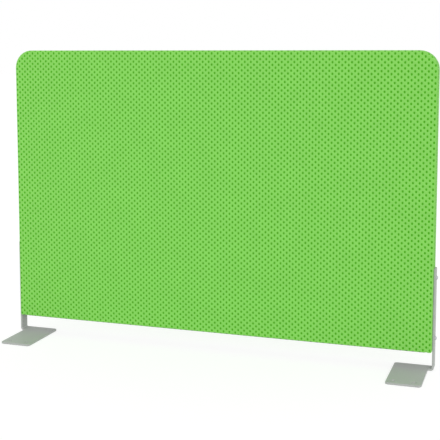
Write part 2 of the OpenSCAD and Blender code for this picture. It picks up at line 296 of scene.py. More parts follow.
print("white card in linear light:", [round(v, 3) for v in linear(250, 250, 250)[:3]])

# %% [markdown]
# Every finish of the screen takes the same few steps: choose where the pattern is measured from, make a
# texture of a real size, and let it tint, roughen or emboss the base. The class below holds those steps. Its
# sizes are in millimetres, so a stitch of 1.1 mm is written as 1.1. A texture's values fill only a part of
# the way from 0 to 1, noise less of it than waves, and that span is stretched to the shades that are wanted.
# Values that are the same all over a surface, such as sheen or gloss level, are set on the shader itself.
# Two things are Blender's own: at a scale of 1 its waves come once in pi / 10 of a metre, and its Mix node
# keeps the sockets for colours behind those for plain numbers.

# %% Steps that every finish is made of
NOISE_SPAN = (0.3, 0.7)
WAVE_SPAN = (0.1, 0.9)
WAVE_AT_SCALE_1 = math.pi / 10
WAVE_DETAIL = 1.5
SHEEN_SPREAD = 0.4
MIX_FACTOR, MIX_UNDER, MIX_OVER, MIX_RESULT = 0, 6, 7, 2


class Finish:
    """One finish, built up from a base colour by textures that tint, roughen and emboss it."""

    def __init__(self, name, colour, roughness, metallic=0.0, gloss=0.5, sheen=0.0, cloth=None):
        self.material = bpy.data.materials.new(name)
        self.material.use_nodes = True
        self.material.diffuse_color = colour
        self.tree = self.material.node_tree
        self.painted = colour
        self.relief = {}
        self.shader(
            {
                "Base Color": colour,
                "Roughness": roughness,
                "Metallic": metallic,
                "Specular IOR Level": gloss,
                "Sheen Weight": sheen,
                "Sheen Roughness": SHEEN_SPREAD,
            }
        )
        self.place = self.where(cloth=cloth)

    def shader(self, inputs):
        """Fill inputs of the finish's own shader."""
        feed(self.tree, self.tree.nodes["Principled BSDF"], inputs)
        return self

    def add(self, kind, inputs, **settings):
        return add_node(self.tree, kind, inputs, **settings)

    def where(self, stretch=(1.0, 1.0, 1.0), cloth=None):
        """Places in metres: the object's own, or on the flat cloth of that width and length."""
        if cloth is None:
            source = self.add("TexCoord", {}).outputs["Object"]
        else:
            source = self.add("UVMap", {}, uv_map="OFBake")
            stretch = (*cloth, 1.0)
        return self.add("Mapping", {"Vector": source, "Scale": stretch})

    def noise(self, size, detail=2.0, twist=0.0, where=None):
        scale = 1 / (size * MM)
        inputs = {"Vector": where or self.place, "Scale": scale, "Detail": detail, "Distortion": twist}
        return self.add("TexNoise", inputs)

    def ribs(self, size, axis, wobble=0.0, where=None):
        scale = WAVE_AT_SCALE_1 / (size * MM)
        inputs = {"Vector": where or self.place, "Scale": scale, "Distortion": wobble, "Detail": WAVE_DETAIL}
        return self.add("TexWave", inputs, bands_direction=axis).outputs["Fac"]

    def pores(self, size):
        return self.add("TexVoronoi", {"Vector": self.place, "Scale": 1 / (size * MM)})

    def reckon(self, operation, first, second=0.0):
        return self.add("Math", {0: first, 1: second}, operation=operation)

    def vees(self, row, rise):
        """The places with their height pulled up beside each upright row, as a knitted loop leans."""
        parts = self.add("SeparateXYZ", {0: self.place}).outputs
        part_of_row = self.reckon("FRACT", self.reckon("DIVIDE", parts["X"], row * MM))
        from_middle = self.reckon("ABSOLUTE", self.reckon("SUBTRACT", part_of_row, 0.5))
        lifted = self.reckon("ADD", parts["Y"], self.reckon("MULTIPLY", from_middle, rise * MM))
        return self.add("CombineXYZ", {0: parts["X"], 1: lifted})

    def remap(self, value, span, low, high):
        """The value with the two ends of its span turned into low and high."""
        inputs = {"Value": value, "From Min": span[0], "From Max": span[1], "To Min": low, "To Max": high}
        return self.add("MapRange", inputs)

    def paint(self, how, factor, colour):
        """Another colour mixed into the base colour, over all that was mixed in before."""
        inputs = {MIX_FACTOR: factor, MIX_UNDER: self.painted, MIX_OVER: colour}
        self.painted = self.add("Mix", inputs, data_type="RGBA", blend_type=how).outputs[MIX_RESULT]
        return self.shader({"Base Color": self.painted})

    def shade(self, value, darkest, lightest, span=NOISE_SPAN):
        """Darker where the texture is low, lighter where it is high."""
        return self.paint("MULTIPLY", 1.0, self.remap(value, span, darkest, lightest))

    def fleck(self, value, colour, span, most):
        """Another colour where the texture is high."""
        return self.paint("MIX", self.remap(value, span, 0.0, most), colour)

    def rough(self, value, smoothest, roughest):
        return self.shader({"Roughness": self.remap(value, NOISE_SPAN, smoothest, roughest)})

    def emboss(self, value, depth):
        """Relief of that depth in mm, on top of any relief so far."""
        inputs = {"Height": value, "Strength": 1.0, "Distance": depth * MM, **self.relief}
        self.relief = {"Normal": self.add("Bump", inputs)}
        return self.shader(self.relief)


print("what a finish can do:", [name for name in vars(Finish) if not name.startswith("_")])

# %% [markdown]
# The cloth is spacer mesh: two knitted faces with a layer of stiff upright threads between them, about
# 2.5 mm thick. The front face is knitted open, with a staggered grid of small oval windows, and through each
# window the darker inside shows. So the cloth needs three finishes: bright face yarn, the upright spacer
# threads in the window walls, and the closed back face at the bottom of each window.
# The stitches are about 1.1 mm wide. They follow the cloth round the edges, so their pattern is measured on
# the flat cloth, whose coordinates are kept with the mesh.

# %% The finishes of the cloth
FACE_GREEN = linear(144, 225, 101)
# Window wall green: partly the spacer threads' own colour, partly painted shade of the window's depth.
WALL_GREEN_WITH_SHADE = linear(97, 197, 36)
# Back face green: partly the knit's own colour, partly painted shade deep in the windows.
BACK_GREEN_WITH_SHADE = linear(85, 185, 27)
THREAD_GREEN = linear(132, 210, 92)
# Seam fold green: darker, as painted shade of the narrow seam valley.
FOLD_GREEN_WITH_SHADE = linear(112, 190, 72)
COVER_FLAT = (1.206, 0.799)
BAND_FLAT = (0.036, 2.7228)
YARN_ROW = 1.1
YARN_LOOP = 0.95
LOOP_LEAN = 0.8


def knit_face(name, flat):
    """Bright warp-knitted yarn in upright rows of small loops."""
    made = Finish(name, FACE_GREEN, 0.82, gloss=0.25, sheen=0.12, cloth=flat)
    rows = made.ribs(YARN_ROW, "X", wobble=0.5)
    loops = made.ribs(YARN_LOOP, "Y", wobble=0.5, where=made.vees(YARN_ROW, LOOP_LEAN))
    fuzz = made.noise(0.5, detail=3.0)
    drift = made.noise(70, detail=1.0)
    made.shade(rows, 0.93, 1.05, WAVE_SPAN).shade(loops, 0.93, 1.05, WAVE_SPAN)
    made.shade(fuzz, 0.96, 1.04).shade(drift, 0.985, 1.012).rough(fuzz, 0.78, 0.9)
    return made.emboss(rows, 0.16).emboss(loops, 0.14).emboss(fuzz, 0.05)


def spacer_threads(name, flat):
    """The upright threads between the two faces, seen edge-on in the window walls; their darker green is
    partly painted shade of the window's depth.
    """
    made = Finish(name, WALL_GREEN_WITH_SHADE, 0.6, gloss=0.35, sheen=0.05, cloth=flat)
    threads = made.ribs(0.45, "DIAGONAL", wobble=1.2)
    made.shade(threads, 0.8, 1.1, WAVE_SPAN).shade(made.noise(0.6), 0.92, 1.05)
    return made.emboss(threads, 0.12)


cover_yarns = [knit_face("cover_face_yarn", COVER_FLAT), spacer_threads("cover_spacer_threads", COVER_FLAT)]
band_yarns = [knit_face("band_face_yarn", BAND_FLAT), spacer_threads("band_spacer_threads", BAND_FLAT)]
print("face yarn in linear light:", [round(v, 3) for v in FACE_GREEN[:3]])

# %% [markdown]
# Three more finishes go with the cloth. Its closed back face has a darker green, partly its own colour and
# partly painted shade of its place deep in the windows.
# The sewing thread is smoother and twisted, and the fold of cloth in a seam is pinched, with a darker green
# that is painted shade of the narrow seam valley. They are small, so their patterns are measured in the
# object's own places and need no coordinates on the mesh.

# %% Back face, thread and seam fold
# The back face's darker green is partly painted shade of the window's depth.
lining_knit = Finish("back_face_knit", BACK_GREEN_WITH_SHADE, 0.85, gloss=0.2, sheen=0.05)
back_loops = lining_knit.noise(1.0)
back_threads = lining_knit.ribs(0.9, "X", wobble=2.0)
lining_knit.shade(back_loops, 0.85, 1.12).shade(back_threads, 0.88, 1.08, WAVE_SPAN).emboss(back_loops, 0.15)

thread = Finish("sewing_thread", THREAD_GREEN, 0.45, gloss=0.4, sheen=0.1)
thread_twist = thread.ribs(0.35, "DIAGONAL", wobble=0.5)
thread.shade(thread_twist, 0.88, 1.05, WAVE_SPAN).emboss(thread_twist, 0.05)

# The seam fold's darker green is painted shade of the seam valley.
seam_fold = Finish("seam_fold", FOLD_GREEN_WITH_SHADE, 0.85, gloss=0.2, sheen=0.08)
seam_pinch = seam_fold.noise(1.6)
seam_fold.shade(seam_pinch, 0.86, 1.04).emboss(seam_pinch, 0.12)
print("seam fold in linear light:", [round(v, 3) for v in FOLD_GREEN_WITH_SHADE[:3]])

# %% [markdown]
# Before a cover is pulled over the foam it is a flat sheet, so the knit is laid out flat and then wrapped.
# The seam lies 5 mm behind the face. The cloth is pulled so tight there that it turns the edge on a radius of
# about 2 mm, and at the lower edge a 12 mm hem goes on underneath. A point of the flat cloth therefore needs
# only its distance past the part that the foam carries, and the direction of the nearest edge. The upper
# corners of that part are arcs of 45 mm. Height is measured outwards from the cloth's surface, so a negative
# height lies inside the panel.

# %% Wrapping flat cloth over the panel
cover_low, cover_high = box_mm("front_cover")
FRONT = cover_low[1]
BACK = box_mm("back_cover")[1][1]
MIDDLE_Y = (FRONT + BACK) / 2
HALF_WIDTH = cover_high[0]
PANEL_FOOT = cover_low[2]
PANEL_TOP = cover_high[2]
ROLL = HALF_WIDTH - box_mm("front_foam")[1][0]
CORNER = 50.0
FLAT_CORNER = CORNER - ROLL
ARC_CENTRE = np.array([HALF_WIDTH - CORNER, PANEL_TOP - CORNER])
FLAT_LOW = np.array([ROLL - HALF_WIDTH, PANEL_FOOT + ROLL])
FLAT_HIGH = np.array([HALF_WIDTH - ROLL, PANEL_TOP - ROLL])
TURN_RADIUS = 2.2
TURN = TURN_RADIUS * math.pi / 2
EDGE_STRAIGHT = ROLL - TURN_RADIUS
OVER_EDGE = 2 * EDGE_STRAIGHT + TURN
HEM = 12.0
SEAM_HALF = 1.0
TINY = 1e-9


def flat_edge(flat):
    """For points of the flat cloth: the nearest place on the flat part, how far past it, and which way."""
    base = np.clip(flat, FLAT_LOW, FLAT_HIGH)
    from_arc = np.stack([np.abs(flat[:, 0]), flat[:, 1]], axis=1) - ARC_CENTRE
    reach = np.hypot(*from_arc.T)
    arc = ARC_CENTRE + FLAT_CORNER * (from_arc / np.maximum(reach, TINY)[:, None])
    arc[:, 0] *= np.sign(flat[:, 0])
    on_arc = (from_arc > 0).all(axis=1) & (reach > FLAT_CORNER)
    base[on_arc] = arc[on_arc]
    past = np.hypot(*(flat - base).T)
    return base, past, (flat - base) / np.maximum(past, TINY)[:, None]


def cut_cloth(flat):
    """Flat points again, those past the cutting line moved back to it, and how far inside it each lies."""
    base, past, way = flat_edge(flat)
    hemmed = (flat[:, 1] < FLAT_LOW[1]) & (np.abs(flat[:, 0]) <= FLAT_HIGH[0])
    limit = np.where(hemmed, OVER_EDGE + HEM, OVER_EDGE - SEAM_HALF)
    return base + way * np.minimum(past, limit)[:, None], limit - past


def wrap_cover(flat, height, side):
    """Flat points on the front or back of the panel, at that height above the cloth's surface."""
    base, past, way = flat_edge(flat)
    turn = np.clip((past - EDGE_STRAIGHT) / TURN_RADIUS, 0, math.pi / 2)
    reach = np.minimum(past, EDGE_STRAIGHT) + (TURN_RADIUS + height) * np.sin(turn)
    behind = np.maximum(past - EDGE_STRAIGHT - TURN, 0)
    depth = TURN_RADIUS + behind - (TURN_RADIUS + height) * np.cos(turn)
    x, z = (base + way * reach[:, None]).T
    return np.stack([x, FRONT + depth if side == "front" else BACK - depth, z], axis=1)


print("the cloth takes", round(OVER_EDGE, 2), "mm to go over an edge of", round(ROLL, 2), "mm")

# %% [markdown]
# The windows sit in a staggered grid, 17 mm apart sideways and 15 mm upwards, with every second row shifted
# by half. The cloth can be cut into diamonds with one window in the middle of each. A diamond has eight
# points on its edge, which it shares with its neighbours, so the cloth stays one connected sheet. The window
# has a rim of twelve points: a collar of triangles joins it to the diamond, and twelve faces go down its
# wall. The edge dips a little between the corners and the rim dips more, as tight knitting does.
# Where the cloth is cut, a diamond is cut with it: its outer points move back to the cutting line. A window
# that would lie in the seam is pulled shut by it, so that diamond has a plain middle instead.

# %% Knitting one sheet of windows
PITCH = np.array([17.0, 15.0])
FIRST_WINDOW = np.array([7.8, 4.2])
WINDOW = np.array([2.6, 3.4])
RIM_POINTS = 12
EDGE_KEYS = np.array([(2, 0), (1, 1), (0, 2), (-1, 1), (-2, 0), (-1, -1), (0, -2), (1, -1)])
EDGE_POINTS = len(EDGE_KEYS)
EDGE_DIP = np.tile([0.0, -0.08], EDGE_POINTS // 2)
RIM_DIP = -0.30
SHUT_DIP = -0.15
WALL_DEPTH = -1.65
WALL_TAPER = 0.90
LEAST_INSIDE = 3.0


def collar():
    """Triangles between a diamond's edge points and its rim, whose points are numbered on from the edge's."""
    rows = []
    edge, rim = 0, 0
    while edge < EDGE_POINTS or rim < RIM_POINTS:
        edge_is_next = (edge + 1) / EDGE_POINTS <= (rim + 1) / RIM_POINTS
        if rim == RIM_POINTS or (edge < EDGE_POINTS and edge_is_next):
            rows.append((edge, (edge + 1) % EDGE_POINTS, EDGE_POINTS + rim % RIM_POINTS))
            edge += 1
        else:
            rows.append((edge % EDGE_POINTS, EDGE_POINTS + (rim + 1) % RIM_POINTS, EDGE_POINTS + rim))
            rim += 1
    return np.array(rows)


def knit(start, low, high, inside):
    """Flat points, their heights, triangles and window walls, for windows between low and high."""
    first = np.floor(np.subtract(low, start) / (PITCH / 2)).astype(int) - 1
    last = np.ceil(np.subtract(high, start) / (PITCH / 2)).astype(int) + 1
    across, up = np.meshgrid(np.arange(first[0], last[0] + 1), np.arange(first[1], last[1] + 1))
    cells = np.stack([across.ravel(), up.ravel()], axis=1)
    cells = cells[cells.sum(axis=1) % 2 == 0]
    centres = start + cells * PITCH / 2
    keys = (2 * cells[:, None, :] + EDGE_KEYS).reshape(-1, 2)
    corners, number = np.unique(keys, axis=0, return_inverse=True)
    edge = number.reshape(-1, EDGE_POINTS)
    edge_height = np.zeros(len(corners))
    edge_height[edge] = EDGE_DIP
    is_open = inside(centres) > LEAST_INSIDE
    opened = centres[is_open][:, None, :]
    ring = circle((0.0, 0.0), 1.0, RIM_POINTS) * WINDOW
    parts = (
        (start + corners * PITCH / 4, edge_height),
        ((opened + ring).reshape(-1, 2), RIM_DIP),
        ((opened + ring * WALL_TAPER).reshape(-1, 2), WALL_DEPTH),
        (centres[~is_open], SHUT_DIP),
    )
    flat = np.concatenate([places for places, _ in parts])
    height = np.concatenate([np.broadcast_to(level, len(places)) for places, level in parts])
    rim = len(corners) + np.arange(len(opened) * RIM_POINTS).reshape(-1, RIM_POINTS)
    wall = rim + rim.size
    collars = np.concatenate([edge[is_open], rim], axis=1)[:, collar()].reshape(-1, 3)
    shut = edge[~is_open]
    middle = np.broadcast_to(np.arange(len(flat) - len(shut), len(flat))[:, None], shut.shape)
    lids = np.stack([shut, np.roll(shut, -1, axis=1), middle], axis=2).reshape(-1, 3)
    return flat, height, np.concatenate([collars, lids]), belt(rim, wall)


print("triangles round each window:", len(collar()))

# %% [markdown]
# A diamond is far wider than the edge it is pulled over, and a straight side of a triangle would cut through
# the bend. A finer sheet everywhere would cure that and be far too heavy. So each side whose middle strays
# from the wrapped cloth gets a new point there, three times over, and its triangles are cut at that point.

# %% Following the bend
LEAST_BULGE = 0.06
SPLIT_ROUNDS = 3


def split_sides(triangles, middles):
    """Triangles cut at the middles of their sides; a middle of -1 leaves that side whole."""
    cuts = (middles >= 0).sum(axis=1)
    made = [triangles[cuts == 0]]
    for turn in range(3):
        a, b, c = np.roll(triangles, -turn, axis=1).T
        ab, bc, ca = np.roll(middles, -turn, axis=1).T
        one = (cuts == 1) & (ab >= 0)
        two = (cuts == 2) & (ab < 0)
        made += [np.stack(corners, axis=1)[one] for corners in ((a, ab, c), (ab, b, c))]
        made += [np.stack(corners, axis=1)[two] for corners in ((a, b, bc), (a, bc, ca), (ca, bc, c))]
        made.append(np.stack([a, ab, ca], axis=1)[cuts == 3])
    made.append(middles[cuts == 3])
    return np.concatenate(made)


def follow_bend(flat, height, triangles, walls, wrap):
    """The sheet with new points wherever a straight side would cut through the bend."""
    for _ in range(SPLIT_ROUNDS):
        sides = np.concatenate([triangles[:, (0, 1)], triangles[:, (1, 2)], triangles[:, (2, 0)]])
        sides = np.sort(sides, axis=1)
        codes = sides[:, 0] * len(flat) + sides[:, 1]
        _, first, which = np.unique(codes, return_index=True, return_inverse=True)
        sides = sides[first]
        middle_flat = flat[sides].mean(axis=1)
        middle_height = height[sides].mean(axis=1)
        straight = wrap(flat, height)[sides].mean(axis=1)
        stray = np.linalg.norm(wrap(middle_flat, middle_height) - straight, axis=1)
        split = (stray > LEAST_BULGE) & ~np.isin(sides, walls).all(axis=1)
        middles = np.full(len(sides), -1)
        middles[split] = len(flat) + np.arange(split.sum())
        flat = np.concatenate([flat, middle_flat[split]])
        height = np.concatenate([height, middle_height[split]])
        triangles = split_sides(triangles, middles[which].reshape(3, -1).T)
    return flat, height, triangles


print("a triangle cut at three sides gives", len(split_sides(np.array([[0, 1, 2]]), np.array([[3, 4, 5]]))))

# %% [markdown]
# A cover is a sheet of windows, cut to its outline, wrapped over the front or the back, and given its two
# yarns. The edge strip is made of the same mesh in the same way, so one function serves them all. Weighted
# normals let the broad faces keep their own direction of light, so that a window's rim stays narrow.

# %% The two covers
LEAST_FACE = 0.01
BROAD_LEAD = 70
MARGIN = 4.0


def mesh_cloth(
    name, sheet, wrap, turned_over, lowest, flat_size, yarns, stands_for, punched=None
):
    """A piece of the mesh: its sheet wrapped, without slivers, its flat places kept for the yarns."""
    flat, height, triangles = follow_bend(*sheet, wrap)
    walls = sheet[3]
    points = wrap(flat, height)
    groups = []
    for group in (triangles, walls):
        wanted = areas(points, group) > LEAST_FACE
        if punched:
            wanted &= ~punched(flat[group].mean(axis=1))
        group = group[wanted]
        groups.append(group[:, ::-1] if turned_over else group)
    finish_of = np.repeat([0, 1], [len(group) for group in groups])
    places = (flat - lowest) * MM / np.array(flat_size)
    made = piece(name, points, groups, yarns, stands_for, finish_of, places)
    weigh = made.modifiers.new("broad_faces_lead", "WEIGHTED_NORMAL")
    weigh.weight = BROAD_LEAD
    return made


def knit_cover(side):
    """One cover with its windows, wrapped over the front or the back of the panel."""
    low = np.array([-HALF_WIDTH - MARGIN, PANEL_FOOT - HEM - MARGIN])
    high = np.array([HALF_WIDTH + MARGIN, PANEL_TOP + MARGIN])
    flat, *rest = knit(FIRST_WINDOW, low, high, lambda centres: cut_cloth(centres)[1])
    return mesh_cloth(
        f"{side}_cover_mesh",
        (cut_cloth(flat)[0], *rest),
        partial(wrap_cover, side=side),
        turned_over=side == "back",
        lowest=np.array([ROLL + SEAM_HALF - HALF_WIDTH - OVER_EDGE, PANEL_FOOT + ROLL - OVER_EDGE - HEM]),
        flat_size=COVER_FLAT,
        yarns=cover_yarns,
        stands_for=[f"{side}_cover"],
    )


front_mesh = knit_cover("front")
back_mesh = knit_cover("back")

# %% [markdown]
# The closed back face of the cloth follows the same wrap, 1.6 mm deeper. It has no windows, so a plain grid
# will do, with its lines close together where the cloth bends: over the edge and round the upper corners.

# %% The back face of each cover
LINING_HEIGHT = -1.62
LINING_STEP = 12.0
CORNER_STEP = 3.6
TURN_ROWS = 5
PAST_TURN = 2.0


def lining(side):
    """The closed back face of a cover."""
    over = EDGE_STRAIGHT + TURN_RADIUS * np.linspace(0, math.pi / 2, TURN_ROWS)
    over = np.append(over, [OVER_EDGE + PAST_TURN, OVER_EDGE + HEM])
    corner = np.concatenate([-over[::-1], np.arange(0, FLAT_CORNER, CORNER_STEP)])
    half = np.append(corner, np.arange(FLAT_CORNER, HALF_WIDTH - ROLL, LINING_STEP))
    fall = np.append(corner, np.arange(FLAT_CORNER, PANEL_TOP - PANEL_FOOT - 2 * ROLL, LINING_STEP))
    across = np.concatenate([half - HALF_WIDTH + ROLL, (HALF_WIDTH - ROLL - half)[::-1]])
    up = np.concatenate([PANEL_TOP - ROLL - fall, PANEL_FOOT + ROLL - np.append(0, over)])[::-1]
    grid_x, grid_z = np.meshgrid(across, up)
    flat, _ = cut_cloth(np.stack([grid_x.ravel(), grid_z.ravel()], axis=1))
    points = wrap_cover(flat, LINING_HEIGHT, side)
    faces = grid_faces(*grid_x.shape)
    faces = faces[areas(points, faces) > LEAST_FACE]
    if side == "back":
        faces = faces[:, ::-1]
    return piece(f"{side}_cover_lining", points, [faces], [lining_knit])


front_lining = lining("front")
back_lining = lining("back")

# %% [markdown]
# A strip of the same mesh goes round the two ends, the rounded corners and the top, sewn between the covers.
# Its long direction follows the outline of the panel, and it turns under the lower edge at both ends. One
# function turns a length along the strip and a height into a place in the outline, and it also serves the
# seams and the stitches.

# %% Following the outline of the panel
QUARTER = ROLL * math.pi / 2
SIDE = PANEL_TOP - CORNER - PANEL_FOOT - ROLL
ARC = CORNER * math.pi / 2
TOP_HALF = HALF_WIDTH - CORNER
STRIP_LENGTH = 2 * (QUARTER + SIDE + ARC + TOP_HALF)


def along_outline(along, from_middle, height):
    """Places on the strip: length along it from the left foot, y from the middle, height outwards."""
    right = along > STRIP_LENGTH / 2
    s = np.where(right, STRIP_LENGTH - along, along)
    under = np.clip(s, 0, QUARTER) / ROLL
    rise = np.clip(s - QUARTER, 0, SIDE)
    bend = np.clip(s - QUARTER - SIDE, 0, ARC) / CORNER
    run = np.clip(s - QUARTER - SIDE - ARC, 0, None)
    on_roll = s < QUARTER
    on_arc = s > QUARTER + SIDE
    normal_x = np.where(on_roll, -np.sin(under), -np.cos(bend))
    normal_z = np.where(on_roll, -np.cos(under), np.sin(bend))
    roll_x = -HALF_WIDTH + ROLL - ROLL * np.sin(under)
    roll_z = PANEL_FOOT + ROLL - ROLL * np.cos(under)
    arc_x = -HALF_WIDTH + CORNER - CORNER * np.cos(bend) + run
    arc_z = PANEL_TOP - CORNER + CORNER * np.sin(bend)
    x = np.where(on_roll, roll_x, np.where(on_arc, arc_x, -HALF_WIDTH)) + normal_x * height
    z = np.where(on_roll, roll_z, np.where(on_arc, arc_z, PANEL_FOOT + ROLL + rise)) + normal_z * height
    y = np.broadcast_to(MIDDLE_Y + from_middle, x.shape)
    return np.stack([np.where(right, -x, x), y, z], axis=1)


def wrap_strip(flat, height):
    """Flat points of the strip, across it and along it, laid round the panel."""
    return along_outline(flat[:, 1], flat[:, 0], height)


print("strip length", round(STRIP_LENGTH, 1), "mm")

# %% [markdown]
# The strip is knitted in the same way as the covers and laid along the outline. Each foot is screwed through
# it in two places, and the strip is punched there, 15 mm wide.

# %% The edge strip
BAND_HALF = (BACK - FRONT) / 2 - ROLL
BAND_CUT = BAND_HALF - SEAM_HALF
SCREW_HEIGHTS = (85.0, 245.0)
SCREW_GAP = 7.5
screw_along = np.array([QUARTER + z - PANEL_FOOT - ROLL for z in SCREW_HEIGHTS])


def near_screw(flat):
    """True for flat places of the strip within reach of a screw."""
    places = [(0.0, s) for s in (*screw_along, *(STRIP_LENGTH - screw_along))]
    return np.any([np.hypot(*(flat - place).T) < SCREW_GAP for place in places], axis=0)


def inside_band(centres):
    """How far inside the cut edges of the strip a window's middle lies."""
    ends = np.minimum(centres[:, 1], STRIP_LENGTH - centres[:, 1])
    return np.minimum(BAND_CUT - np.abs(centres[:, 0]), ends)


flat, *rest = knit((0.0, STRIP_LENGTH / 2), (-BAND_HALF, 0.0), (BAND_HALF, STRIP_LENGTH), inside_band)
edge_mesh = mesh_cloth(
    "edge_band_mesh",
    (np.clip(flat, (-BAND_CUT, 0.0), (BAND_CUT, STRIP_LENGTH)), *rest),
    wrap_strip,
    turned_over=True,
    lowest=(-BAND_HALF, 0.0),
    flat_size=BAND_FLAT,
    yarns=band_yarns,
    stands_for=["edge_band"],
    punched=near_screw,
)

# %% [markdown]
# The back face of the strip is a plain grid of long faces, four points wide. Its cross lines lie close
# together on the corners, and at the edges of the punched places.

# %% The back face of the edge strip
INNER_ROW = 8.0
CROSS_LINES = (6, 49, 17, 31)

stretch_ends = np.cumsum([0.0, QUARTER, SIDE, ARC, TOP_HALF])
steps = [np.linspace(*stretch) for stretch in zip(stretch_ends, stretch_ends[1:], CROSS_LINES)]
steps = np.concatenate([*steps, screw_along - SCREW_GAP, screw_along + SCREW_GAP]).round(4)
steps = np.unique(np.concatenate([steps, STRIP_LENGTH - steps]).round(4))
across, along = np.meshgrid([-BAND_CUT, -INNER_ROW, INNER_ROW, BAND_CUT], steps)
flat = np.stack([across.ravel(), along.ravel()], axis=1)
faces = grid_faces(*across.shape)[:, (0, 3, 2, 1)]
faces = faces[~near_screw(flat[faces].mean(axis=1))]
points = wrap_strip(flat, LINING_HEIGHT)
edge_lining = piece("edge_band_lining", points, [faces], [lining_knit])

# %% [markdown]
# Cover and strip are sewn together inside out, so the finished seam is a narrow valley between two folded
# edges. Each seam here is a thin gutter along the outline that joins the cut edges of the two meshes. Thread
# tension pinches it slightly at every stitch. A second row of stitches, 1.4 mm from the seam on the strip's
# side, holds the folded edges flat: topstitching, which keeps an upholstered edge straight.

# %% Seams and topstitching
GUTTER = ((-1.3, -0.30), (-0.6, -0.75), (0.0, -1.10), (0.6, -0.70), (1.3, -0.15))
GUTTER_PINCH = 0.08
STITCH_PITCH = 4.5
STITCH_LENGTH = 3.4
STITCH_LOW = -0.40
STITCH_RISE = 0.36
STITCH_RINGS = 5
STITCH_SIDES = 5
THREAD_RADIUS = 0.28
TOPSTITCH_IN = 1.4


def seam(name, side):
    """The gutter between a cover and the strip; side is -1 for the front and 1 for the back."""
    steps = np.append(np.arange(0, STRIP_LENGTH, STITCH_PITCH / 4), STRIP_LENGTH)
    pinch = GUTTER_PINCH * np.sin(2 * math.pi * steps / STITCH_PITCH)
    rows = [along_outline(steps, side * (BAND_HALF - off), deep + pinch) for off, deep in GUTTER]
    faces = grid_faces(len(GUTTER), len(steps))
    if side > 0:
        faces = faces[:, ::-1]
    return piece(name, np.concatenate(rows), [faces], [seam_fold])


def topstitch(name, side):
    """A row of short stitches beside the seam, each a bowed tube with two closed ends."""
    starts = np.arange(STITCH_PITCH, STRIP_LENGTH - 2 * STITCH_PITCH, STITCH_PITCH)
    share = np.linspace(0, 1, STITCH_RINGS)
    off, up = circle((0.0, 0.0), THREAD_RADIUS, STITCH_SIDES).T
    shape = (len(starts), STITCH_RINGS, STITCH_SIDES)
    crest = STITCH_LOW + STITCH_RISE * np.sin(math.pi * share)
    s = np.broadcast_to((starts[:, None] + STITCH_LENGTH * share)[:, :, None], shape)
    off = np.broadcast_to(off, shape)
    up = np.broadcast_to(crest[:, None] + up, shape)
    points = along_outline(s.ravel(), side * (BAND_HALF - TOPSTITCH_IN) + off.ravel(), up.ravel())
    number = np.arange(len(points)).reshape(shape)
    ends = np.concatenate([number[:, 0, ::-1], number[:, -1]])
    return piece(name, points, [belt(number[:, :-1], number[:, 1:]), ends], [thread])


front_seam = seam("front_seam", -1)
back_seam = seam("back_seam", 1)
front_stitches = topstitch("front_topstitch", -1)
back_stitches = topstitch("back_topstitch", 1)
print("one stitch in every", STITCH_PITCH, "mm of the outline")

# %% The pieces of cloth
print("sheets: two covers, their two back faces, the edge strip and its back face")

# %% [markdown]
# Each foot is one piece of 5 mm steel: a flat blank is cut by laser, its edges are broken, and it is bent
# once at a right angle. The mesh is made in the same order. The blank's outline is drawn flat, with a length
# along the blank and a width across it, and the bend is a formula that rolls the blank round a 3 mm punch.
# Outlines are closed rings of points. A ring can be drawn smaller by an inset, and its corners keep the same
# centres, which is what a file or a coat of powder paint does to a sharp edge.

# %% Drawing an outline with rounded corners
LEAST_ROUNDING = 0.05


def left_of(way):
    """The direction a quarter turn to the left."""
    return np.array([-way[1], way[0]])


def outline(corners, inset=0.0):
    """A ring of points, anticlockwise. A corner is (x, y, radius, points); a radius of 0 is one point."""
    places = np.array([corner[:2] for corner in corners], float)
    ring = []
    for i, (_, _, radius, count) in enumerate(corners):
        into = places[i] - places[i - 1]
        out = places[(i + 1) % len(places)] - places[i]
        into = into / np.hypot(*into)
        out = out / np.hypot(*out)
        left_in, left_out = left_of(into), left_of(out)
        spread = (left_in + left_out) / (1 + left_in @ left_out)
        place = places[i] + inset * spread
        if radius == 0:
            ring.append(place)
            continue
        turn = math.atan2(into[0] * out[1] - into[1] * out[0], into @ out)
        bulge = 1 if turn > 0 else -1
        rounding = max(radius - bulge * inset, LEAST_ROUNDING)
        centre = place + bulge * rounding * spread
        for k in range(count):
            angle = turn * k / (count - 1)
            around = left_in * math.cos(angle) + left_of(left_in) * math.sin(angle)
            ring.append(centre - bulge * rounding * around)
    return np.array(ring)


print("a test ring of a 4 mm corner has", len(outline([(0, 0, 4, 7), (9, 0, 0, 1), (9, 9, 0, 1)])), "points")

# %% [markdown]
# A plate is one such outline at several heights. Its edges are rounded where the lowest and the highest
# outline are drawn smaller, and its broad faces are filled with triangles, which leave the holes open. The
# left half of the screen mirrors the right, so a piece is made once and its mirror image is taken from it.

# %% Rounded edges, filled faces and mirror images


def rounded_levels(near, far, rounding):
    """Levels through a plate or slab, each with its inset, so that both broad faces get a rounded edge."""
    steps = ((0.0, 1.0), (0.3, 0.3), (1.0, 0.0))
    low = [(near + step * rounding, inset * rounding) for step, inset in steps]
    high = [(far - step * rounding, inset * rounding) for step, inset in reversed(steps)]
    return low + high


def lid(rings, numbers):
    """Triangles that fill the first ring, with the other rings as holes, all facing the same way."""
    flat = np.concatenate(rings)
    fill = np.array(tessellate_polygon([[(*point, 0.0) for point in ring] for ring in rings]))
    a, b, c = (flat[fill[:, k]] for k in range(3))
    cross = (b - a)[:, 0] * (c - a)[:, 1] - (b - a)[:, 1] * (c - a)[:, 0]
    fill[cross < 0] = fill[cross < 0][:, ::-1]
    return np.concatenate(numbers)[fill[np.abs(cross) > TINY]]


def mirror(points, groups):
    """The same piece on the other side, with its faces turned over so that they still face outwards."""
    return points * (-1.0, 1.0, 1.0), [group[:, ::-1] for group in groups]


